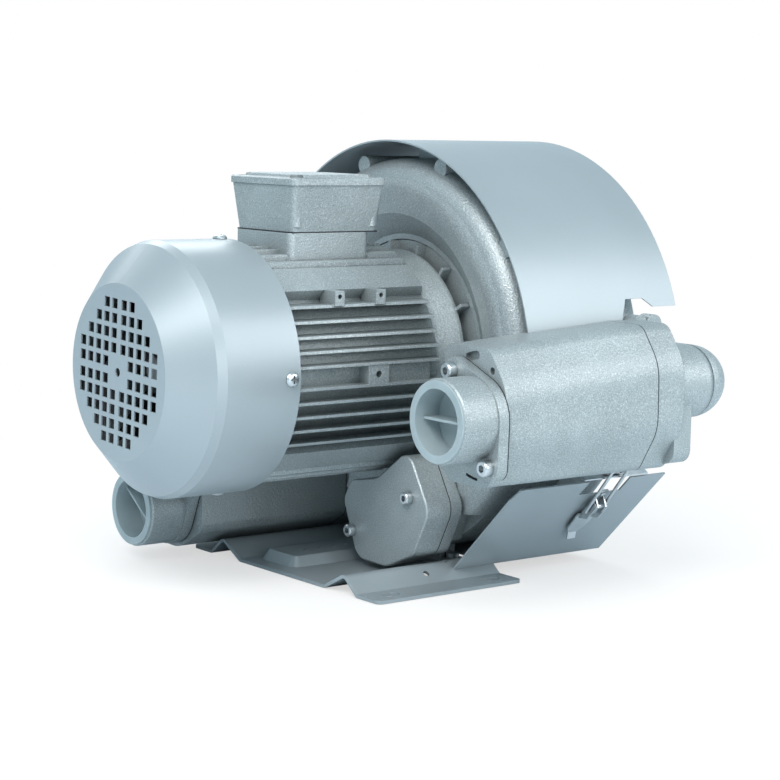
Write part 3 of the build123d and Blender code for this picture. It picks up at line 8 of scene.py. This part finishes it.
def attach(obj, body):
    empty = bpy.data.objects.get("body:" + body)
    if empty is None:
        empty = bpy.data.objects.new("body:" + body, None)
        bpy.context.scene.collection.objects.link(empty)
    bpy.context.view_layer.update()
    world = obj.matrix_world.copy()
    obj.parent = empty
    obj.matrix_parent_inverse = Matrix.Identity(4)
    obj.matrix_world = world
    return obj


# Side channel blower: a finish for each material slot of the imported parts, the outer quarter of the outlet elbow,
# which the solids lack, and the studio around them.
# Metres. X runs along the shaft from the fan cowl to the blower, the near side is -Y, Z is up.

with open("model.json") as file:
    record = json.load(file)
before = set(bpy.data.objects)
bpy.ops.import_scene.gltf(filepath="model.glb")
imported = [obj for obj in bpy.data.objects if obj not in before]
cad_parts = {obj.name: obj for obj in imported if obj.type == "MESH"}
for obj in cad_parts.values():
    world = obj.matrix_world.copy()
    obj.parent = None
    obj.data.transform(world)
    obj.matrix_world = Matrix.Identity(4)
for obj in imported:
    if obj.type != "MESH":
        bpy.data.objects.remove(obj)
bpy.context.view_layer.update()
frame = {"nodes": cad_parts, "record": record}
nodes = frame["nodes"]

WHITE = (1.0, 1.0, 1.0, 1.0)

# Sockets of a Mix node that mixes colours
MIX_FACTOR, MIX_FIRST, MIX_SECOND, MIX_RESULT = 0, 6, 7, 2


# ---------------------------------------------------------------- shader maths


def add_node(tree, kind, settings, inputs):
    """Adds a node with its settings and its inputs, each a number, a colour or another node's output."""
    node = tree.nodes.new(kind)
    for key, setting in settings.items():
        setattr(node, key, setting)
    pairs = inputs.items() if isinstance(inputs, dict) else enumerate(inputs)
    for key, value in pairs:
        if isinstance(value, bpy.types.NodeSocket):
            tree.links.new(value, node.inputs[key])
        else:
            node.inputs[key].default_value = value
    return node


def plain(value):
    """A value's socket, or the number or colour itself."""
    return value.socket if isinstance(value, Value) else value


def shade(colour, factor):
    """A colour made lighter or darker, up to white."""
    return tuple(min(1.0, part * factor) for part in colour)


class Value:
    """A node output that can be used in Python expressions."""

    def __init__(self, finish, socket):
        self.finish = finish
        self.socket = socket

    def math(self, operation, first, second, clamp=False):
        return self.finish.make("ShaderNodeMath", {"operation": operation, "use_clamp": clamp}, [first, second])

    def __add__(self, other):
        return self.math("ADD", self, other)

    __radd__ = __add__

    def __sub__(self, other):
        return self.math("SUBTRACT", self, other)

    def __rsub__(self, other):
        return self.math("SUBTRACT", other, self)

    def __mul__(self, other):
        return self.math("MULTIPLY", self, other)

    def __pow__(self, other):
        return self.math("POWER", self, other)

    def clamped(self):
        return self.math("ADD", self, 0.0, clamp=True)


class Finish:
    """One procedural material, read in the part's own coordinates."""

    def __init__(self, name):
        self.material = bpy.data.materials.new(name)
        self.material.use_nodes = True
        self.tree = self.material.node_tree
        self.tree.nodes.clear()
        self.shader = self.tree.nodes.new("ShaderNodeBsdfPrincipled")
        add_node(self.tree, "ShaderNodeOutputMaterial", {}, {"Surface": self.shader.outputs[0]})
        self.place = self.make("ShaderNodeTexCoord", {}, {}, output="Object")

    def make(self, kind, settings, inputs, output=0):
        """Adds a node to the material and gives the named or numbered output."""
        pairs = inputs.items() if isinstance(inputs, dict) else enumerate(inputs)
        node = add_node(self.tree, kind, settings, {key: plain(value) for key, value in pairs})
        return Value(self, node.outputs[output])

    def noise(self, per_metre, detail, roughness=0.5, place=None):
        inputs = {"Vector": place or self.place, "Scale": per_metre, "Detail": detail, "Roughness": roughness}
        return self.make("ShaderNodeTexNoise", {}, inputs)

    def cells(self, per_metre, smoothness=None):
        """Distance to the middle of the nearest cell, with the cells melted together where smoothness is given."""
        feature, inputs = "F1", {"Vector": self.place, "Scale": per_metre}
        if smoothness is not None:
            feature = "SMOOTH_F1"
            inputs["Smoothness"] = smoothness
        return self.make("ShaderNodeTexVoronoi", {"feature": feature}, inputs, output="Distance")

    def wave(self, per_metre, settings, distortion, **inputs):
        inputs = {"Vector": self.place, "Scale": per_metre, "Distortion": distortion, **inputs}
        return self.make("ShaderNodeTexWave", settings, inputs)

    def ramp(self, value, *stops):
        """Grey levels at two positions of a value, each stop a position and a level."""
        node = add_node(self.tree, "ShaderNodeValToRGB", {}, {"Fac": value.socket})
        for element, (position, level) in zip(node.color_ramp.elements, stops):
            element.position = position
            element.color = (level, level, level, 1.0)
        return Value(self, node.outputs[0])

    def stretch(self, scale):
        """The part's coordinates squeezed along some axes, for brushed or drawn grain."""
        return self.make("ShaderNodeMapping", {}, {"Vector": self.place, "Scale": scale})

    def mixed(self, factor, first, second):
        """Colour between two colours."""
        inputs = {MIX_FACTOR: factor}
        for socket, colour in ((MIX_FIRST, first), (MIX_SECOND, second)):
            inputs[socket] = colour if isinstance(colour, Value) else (*colour, 1.0)
        return self.make("ShaderNodeMix", {"data_type": "RGBA"}, inputs, output=MIX_RESULT)

    def corner_shaded(self, tone, painted_shade_colour, reach, power, amount=1.0):
        """A colour that turns to painted shade in the corners, within reach of another surface, as ambient
        occlusion finds them.
        """
        open_air = self.make("ShaderNodeAmbientOcclusion", {"samples": 6}, {"Distance": reach}, output="AO")
        return self.mixed(((1.0 - open_air) ** power * amount).clamped(), tone, painted_shade_colour)

    def relief(self, height, distance, strength, edge=0.0):
        """Bump from a height field, over edges eased by a small radius."""
        inputs = {"Height": height, "Distance": distance, "Strength": strength}
        if edge > 0:
            inputs["Normal"] = self.make("ShaderNodeBevel", {"samples": 4}, {"Radius": edge})
        return self.make("ShaderNodeBump", {}, inputs)

    def wear(self, **sockets):
        """Sets the shader's own sockets and gives the finished material."""
        for key, value in sockets.items():
            socket = self.shader.inputs[key.replace("_", " ")]
            if isinstance(value, Value):
                self.tree.links.new(value.socket, socket)
            else:
                socket.default_value = value
        return self.material


# ---------------------------------------------------------------- finishes

CAST_COLOUR = (0.42, 0.46, 0.465)
SHEET_COLOUR = (0.40, 0.445, 0.465)


def cast_paint(name):
    """Silver paint over a sand casting: pebbled, with light flecks as painted glints, and painted shade in the pits
    of the grain and in the corners.
    """
    f = Finish(name)
    pebble = f.cells(430.0, smoothness=0.5)
    grain = f.noise(1000.0, detail=2.0, roughness=0.6)
    cloud = f.noise(14.0, detail=3.0)
    patch = f.noise(60.0, detail=2.0)
    # Dark colour of the painted shade, for the corners and for the pits of the grain
    painted_shade_colour = shade(CAST_COLOUR, 0.30)
    tone = f.mixed((cloud - 0.35) * 1.6 + (patch - 0.5) * 0.5, shade(CAST_COLOUR, 0.86), shade(CAST_COLOUR, 1.12))
    # Painted glints: light flecks on the high points of the grain, also smoother
    painted_glint = f.ramp(grain, (0.54, 0.0), (0.68, 1.0))
    # Painted shade in the pits, the low points of the grain
    pit = f.ramp(grain, (0.34, 1.0), (0.46, 0.0))
    tone = f.mixed(painted_glint * 0.45, tone, (0.84, 0.88, 0.88))
    tone = f.mixed(pit * 0.35, tone, painted_shade_colour)
    return f.wear(
        # Painted shade in the corners, where ambient occlusion finds another surface near
        Base_Color=f.corner_shaded(tone, painted_shade_colour, reach=0.012, power=1.4, amount=0.9),
        Metallic=0.5,
        Roughness=0.38 + patch * 0.10 - painted_glint * 0.10,
        Normal=f.relief(pebble * 0.45 + grain * 0.55, distance=0.0007, strength=0.7, edge=0.0009),
        Coat_Weight=0.12,
        Coat_Roughness=0.25,
    )


def sheet_paint(name):
    """The same paint on rolled sheet: even, with fine orange peel, faint painted glints and painted shade in the
    corners.
    """
    f = Finish(name)
    peel = f.noise(700.0, detail=2.0)
    grain = f.noise(2200.0, detail=2.0, roughness=0.6)
    cloud = f.noise(7.0, detail=3.0)
    tone = f.mixed((cloud - 0.3) * 1.5, shade(SHEET_COLOUR, 0.93), shade(SHEET_COLOUR, 1.07))
    # Painted glints: faint light flecks on the high points of the grain
    painted_glint = f.ramp(grain, (0.60, 0.0), (0.75, 1.0))
    tone = f.mixed(painted_glint * 0.20, tone, (0.70, 0.76, 0.78))
    return f.wear(
        # Painted shade in the corners, where ambient occlusion finds another surface near
        Base_Color=f.corner_shaded(tone, shade(SHEET_COLOUR, 0.32), reach=0.015, power=1.5, amount=0.8),
        Metallic=0.45,
        Roughness=0.36 + cloud * 0.08,
        Normal=f.relief(peel * 0.7 + grain * 0.3, distance=0.00010, strength=0.45, edge=0.0004),
        Coat_Weight=0.15,
        Coat_Roughness=0.2,
    )


def zinc_plate(name):
    """Bright zinc with faint bluish clouds and fine scratches, and painted shade in the corners."""
    f = Finish(name)
    cloud = f.noise(120.0, detail=3.0)
    scratch = f.noise(900.0, detail=4.0, roughness=0.7, place=f.stretch((1.0, 0.12, 1.0)))
    tone = f.mixed(cloud, (0.60, 0.63, 0.66), (0.80, 0.81, 0.80))
    return f.wear(
        # Near-black painted shade in the corners, where ambient occlusion finds another surface near
        Base_Color=f.corner_shaded(tone, (0.10, 0.11, 0.12), reach=0.004, power=1.3),
        Metallic=1.0,
        Roughness=0.22 + cloud * 0.12 + scratch * 0.08,
        Normal=f.relief(scratch, distance=0.00004, strength=0.4, edge=0.0002),
    )


def ground_steel(name):
    """Turned and ground bare steel with rings of tool marks."""
    f = Finish(name)
    rings = f.noise(400.0, detail=3.0, roughness=0.6, place=f.stretch((6.0, 1.0, 1.0)))
    oil = f.noise(30.0, detail=2.0)
    return f.wear(
        Base_Color=f.mixed(oil, (0.42, 0.42, 0.43), (0.60, 0.60, 0.60)),
        Metallic=1.0,
        Roughness=0.25 + rings * 0.15,
        Normal=f.relief(rings, distance=0.00003, strength=0.4, edge=0.0003),
    )


def bare_aluminium(name):
    """Die-cast aluminium, dull and slightly pitted."""
    f = Finish(name)
    pits = f.noise(1100.0, detail=3.0, roughness=0.6)
    cloud = f.noise(25.0, detail=3.0)
    return f.wear(
        Base_Color=f.mixed(cloud, (0.50, 0.51, 0.53), (0.68, 0.69, 0.70)),
        Metallic=0.9,
        Roughness=0.38 + pits * 0.15,
        Normal=f.relief(pits, distance=0.00012, strength=0.4, edge=0.0004),
    )


def laminations(name):
    """Edges of stacked electrical steel sheets."""
    f = Finish(name)
    stack = f.wave(320.0, {"wave_type": "BANDS", "bands_direction": "X"}, distortion=0.2)
    rust = f.noise(40.0, detail=3.0)
    return f.wear(
        Base_Color=f.mixed(rust, (0.09, 0.09, 0.10), (0.17, 0.15, 0.14)),
        Metallic=0.6,
        Roughness=0.5 + rust * 0.15,
        Normal=f.relief(stack, distance=0.0002, strength=0.5),
    )


def varnished_copper(name):
    """Bundles of enamelled wire under dark varnish."""
    f = Finish(name)
    wires = f.wave(260.0, {"wave_type": "RINGS", "rings_direction": "X"}, distortion=4.0, Detail=2.0)
    return f.wear(
        Base_Color=f.mixed(wires, (0.20, 0.07, 0.02), (0.45, 0.18, 0.06)),
        Metallic=0.5,
        Roughness=0.3 + wires * 0.1,
        Normal=f.relief(wires, distance=0.0004, strength=0.6),
    )


def gasket_sheet(name):
    """Black fibre gasket edge."""
    f = Finish(name)
    fibre = f.noise(1800.0, detail=3.0, roughness=0.7)
    return f.wear(
        Base_Color=f.mixed(fibre, (0.012, 0.013, 0.014), (0.035, 0.036, 0.038)),
        Roughness=0.75 + fibre * 0.1,
        Normal=f.relief(fibre, distance=0.00015, strength=0.5),
    )


def black_plastic(name):
    """Moulded black nylon with a light spark-erosion texture."""
    f = Finish(name)
    texture = f.noise(2400.0, detail=2.0)
    cloud = f.noise(30.0, detail=2.0)
    return f.wear(
        Base_Color=f.mixed(cloud, (0.012, 0.012, 0.013), (0.028, 0.028, 0.030)),
        Roughness=0.42 + cloud * 0.1,
        Normal=f.relief(texture, distance=0.00006, strength=0.5, edge=0.0003),
    )


def milky_plastic(name):
    """Natural polyethylene of the transport plugs: milky, soft, lit from inside."""
    f = Finish(name)
    haze = f.noise(40.0, detail=2.0)
    flow = f.noise(320.0, detail=2.0)
    return f.wear(
        Base_Color=f.mixed(haze, (0.30, 0.36, 0.375), (0.40, 0.46, 0.475)),
        Roughness=0.34 + haze * 0.1,
        Normal=f.relief(flow, distance=0.00010, strength=0.4, edge=0.0005),
        Subsurface_Weight=0.35,
        Subsurface_Radius=(0.006, 0.006, 0.006),
        Subsurface_Scale=1.0,
    )


def silencer_tube(name):
    """Perforated silencer tube, dark, with a pattern of small holes painted as near-black spots of shade."""
    f = Finish(name)
    holes = f.cells(230.0)
    return f.wear(
        # The holes: near-black spots, painted shade of the space behind them
        Base_Color=f.mixed(f.ramp(holes, (0.28, 1.0), (0.36, 0.0)), (0.16, 0.17, 0.17), (0.01, 0.01, 0.01)),
        Metallic=0.4,
        Roughness=0.55,
        Normal=f.relief(holes, distance=0.0003, strength=0.5),
    )


finishes = {
    "cast": cast_paint("pebbled_silver_paint"),
    "sheet": sheet_paint("smooth_silver_paint"),
    "zinc": zinc_plate("bright_zinc"),
    "steel": ground_steel("ground_steel"),
    "alu": bare_aluminium("bare_aluminium"),
    "iron": laminations("core_laminations"),
    "copper": varnished_copper("varnished_copper"),
    "gasket": gasket_sheet("black_gasket"),
    "plastic_black": black_plastic("black_nylon"),
    "plug": milky_plastic("milky_polyethylene"),
    "foam": silencer_tube("perforated_tube"),
}

for entry in frame["record"]["subparts"]:
    mesh = nodes[entry["node"]].data
    mesh.materials.clear()
    mesh.materials.append(finishes[entry["material_slot"]])


# ---------------------------------------------------------------- the piece that the solids lack

ELBOW_CENTRE = Vector((0.187, -0.235, 0.185))
ELBOW_RADIUS = 0.03197  # just under the tubes' own, so that its edges end inside them
ELBOW_WALL = 0.0045
ELBOW_LAP = 0.005  # how far the cap runs on inside each tube
ELBOW_SEGMENTS, ELBOW_RINGS = 96, 48
SMOOTH_ANGLE = math.radians(40)


def keep_faces(mesh_object, wanted):
    """Deletes the faces of an object whose middles the test turns down."""
    bpy.ops.object.mode_set(mode="EDIT")
    bpy.ops.mesh.select_mode(type="FACE")
    bpy.ops.mesh.select_all(action="DESELECT")
    bpy.ops.object.mode_set(mode="OBJECT")
    mesh = mesh_object.data
    mesh.polygons.foreach_set("select", [not wanted(face.center) for face in mesh.polygons])
    bpy.ops.object.mode_set(mode="EDIT")
    bpy.ops.mesh.delete(type="FACE")
    bpy.ops.object.mode_set(mode="OBJECT")


def elbow_cap():
    """Outer quarter of the outlet elbow, between the neck from the silencer and the branch to the housing."""
    bpy.ops.object.select_all(action="DESELECT")
    bpy.ops.mesh.primitive_uv_sphere_add(segments=ELBOW_SEGMENTS, ring_count=ELBOW_RINGS, radius=ELBOW_RADIUS)
    cap = bpy.context.object
    cap.name = "outlet_elbow_cap"
    keep_faces(cap, lambda middle: middle.x > -ELBOW_LAP and middle.y < ELBOW_LAP)
    bpy.ops.object.mode_set(mode="EDIT")
    bpy.ops.mesh.select_all(action="SELECT")
    bpy.ops.transform.translate(value=ELBOW_CENTRE)
    bpy.ops.mesh.normals_make_consistent(inside=False)
    bpy.ops.object.mode_set(mode="OBJECT")
    wall = cap.modifiers.new("wall", "SOLIDIFY")
    wall.thickness = ELBOW_WALL
    wall.offset = -1.0
    bpy.ops.object.modifier_apply(modifier="wall")
    bpy.ops.object.shade_smooth_by_angle(angle=SMOOTH_ANGLE)
    cap.data.materials.append(finishes["cast"])
    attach(cap, "root")


elbow_cap()


# ---------------------------------------------------------------- floor, light and camera

AIR_COLOUR = (0.66, 0.88, 1.0, 1.0)
AIR_STRENGTH = 0.72

FLOOR_SIZE = 12.0
FLOOR_DROP = 0.0005
FLOOR_BOUNCE = (0.70, 0.76, 0.80, 1.0)
FLOOR_SEEN = (0.97, 0.93, 0.905, 1.0)
# The camera sees plain white for this share of the floor, rising between two distances from the middle
FADE = {"From Min": 0.30, "From Max": 0.85, "To Min": 0.60, "To Max": 1.0}

# Each softbox: place, point it faces, width and height, watts
SOFTBOXES = {
    "key": ((-1.6, -1.2, 2.2), (0.0, 0.0, 0.2), (1.8, 1.4), 60.0),
    "side": ((1.8, -2.0, 1.4), (0.1, -0.1, 0.2), (1.2, 1.6), 19.0),
    "back": ((0.6, 2.2, 1.8), (0.0, 0.0, 0.25), (2.0, 1.0), 22.0),
    "near": ((-0.2, -2.4, 0.7), (0.0, 0.0, 0.2), (2.4, 1.0), 14.0),
}

CAMERA_PLACE = (-1.16096, -1.52574, 0.40735)
CAMERA_YAW, CAMERA_PITCH, CAMERA_ROLL = (math.radians(angle) for angle in (-38.198, 7.277, 1.173))
CAMERA_SENSOR = 36.0
CAMERA_LENS = 97.85
CAMERA_REACH = (0.05, 50.0)


def node_tree(owner):
    """The emptied node tree of a material or world."""
    owner.use_nodes = True
    owner.node_tree.nodes.clear()
    return owner.node_tree


def white_world():
    """Cool air for light and reflections, and plain white behind the part."""
    world = bpy.data.worlds.new("studio_air")
    bpy.context.scene.world = world
    tree = node_tree(world)
    ray = add_node(tree, "ShaderNodeLightPath", {}, {}).outputs
    air = add_node(tree, "ShaderNodeBackground", {}, {"Color": AIR_COLOUR, "Strength": AIR_STRENGTH})
    white = add_node(tree, "ShaderNodeBackground", {}, {"Color": WHITE})
    rays = [ray["Is Camera Ray"], ray["Is Transmission Ray"]]
    seen = add_node(tree, "ShaderNodeMath", {"operation": "MAXIMUM"}, rays)
    mix = add_node(tree, "ShaderNodeMixShader", {}, [seen.outputs[0], air.outputs[0], white.outputs[0]])
    add_node(tree, "ShaderNodeOutputWorld", {}, {"Surface": mix.outputs[0]})


def pale_floor():
    """Floor that keeps the part's shadow, and goes over into the white behind it."""
    material = bpy.data.materials.new("pale_floor")
    tree = node_tree(material)
    seen = add_node(tree, "ShaderNodeLightPath", {}, {}).outputs["Is Camera Ray"]
    tints = {MIX_FACTOR: seen, MIX_FIRST: FLOOR_BOUNCE, MIX_SECOND: FLOOR_SEEN}
    tint = add_node(tree, "ShaderNodeMix", {"data_type": "RGBA"}, tints)
    diffuse = add_node(tree, "ShaderNodeBsdfDiffuse", {}, {"Color": tint.outputs[MIX_RESULT]})
    glow = add_node(tree, "ShaderNodeEmission", {}, {"Color": WHITE})
    place = add_node(tree, "ShaderNodeTexCoord", {}, {})
    distance = add_node(tree, "ShaderNodeVectorMath", {"operation": "LENGTH"}, [place.outputs["Object"]])
    fade_inputs = {**FADE, "Value": distance.outputs["Value"]}
    fade = add_node(tree, "ShaderNodeMapRange", {"interpolation_type": "SMOOTHSTEP"}, fade_inputs)
    share = add_node(tree, "ShaderNodeMath", {"operation": "MULTIPLY"}, [seen, fade.outputs["Result"]])
    mix = add_node(tree, "ShaderNodeMixShader", {}, [share.outputs[0], diffuse.outputs[0], glow.outputs[0]])
    add_node(tree, "ShaderNodeOutputMaterial", {}, {"Surface": mix.outputs[0]})
    return material


def studio_floor():
    bpy.ops.object.select_all(action="DESELECT")
    bpy.ops.mesh.primitive_plane_add(size=FLOOR_SIZE, location=(0, 0, -FLOOR_DROP))
    floor = bpy.context.object
    floor.name = "studio_floor"
    floor.data.materials.append(pale_floor())


def softbox(name, place, target, size, watts):
    data = bpy.data.lights.new(name, "AREA")
    data.shape = "RECTANGLE"
    data.size, data.size_y = size
    data.energy = watts
    lamp = bpy.data.objects.new(name, data)
    bpy.context.scene.collection.objects.link(lamp)
    lamp.location = place
    lamp.rotation_euler = (Vector(target) - Vector(place)).to_track_quat("-Z", "Y").to_euler()


def studio_camera():
    back = Vector(
        (
            math.sin(CAMERA_YAW) * math.cos(CAMERA_PITCH),
            -math.cos(CAMERA_YAW) * math.cos(CAMERA_PITCH),
            math.sin(CAMERA_PITCH),
        )
    )
    level = (-back).cross(Vector((0, 0, 1))).normalized()
    lift = level.cross(-back)
    right = level * math.cos(CAMERA_ROLL) + lift * math.sin(CAMERA_ROLL)
    up = lift * math.cos(CAMERA_ROLL) - level * math.sin(CAMERA_ROLL)
    data = bpy.data.cameras.new("studio_camera")
    data.sensor_width = CAMERA_SENSOR
    data.lens = CAMERA_LENS
    data.clip_start, data.clip_end = CAMERA_REACH
    camera = bpy.data.objects.new("studio_camera", data)
    bpy.context.scene.collection.objects.link(camera)
    turn = Matrix((right, up, back)).transposed().to_4x4()
    camera.matrix_world = Matrix.Translation(CAMERA_PLACE) @ turn
    bpy.context.scene.camera = camera


white_world()
studio_floor()
for lamp_name, lamp_facts in SOFTBOXES.items():
    softbox(lamp_name, *lamp_facts)
studio_camera()
bpy.context.scene.view_settings.view_transform = "Standard"
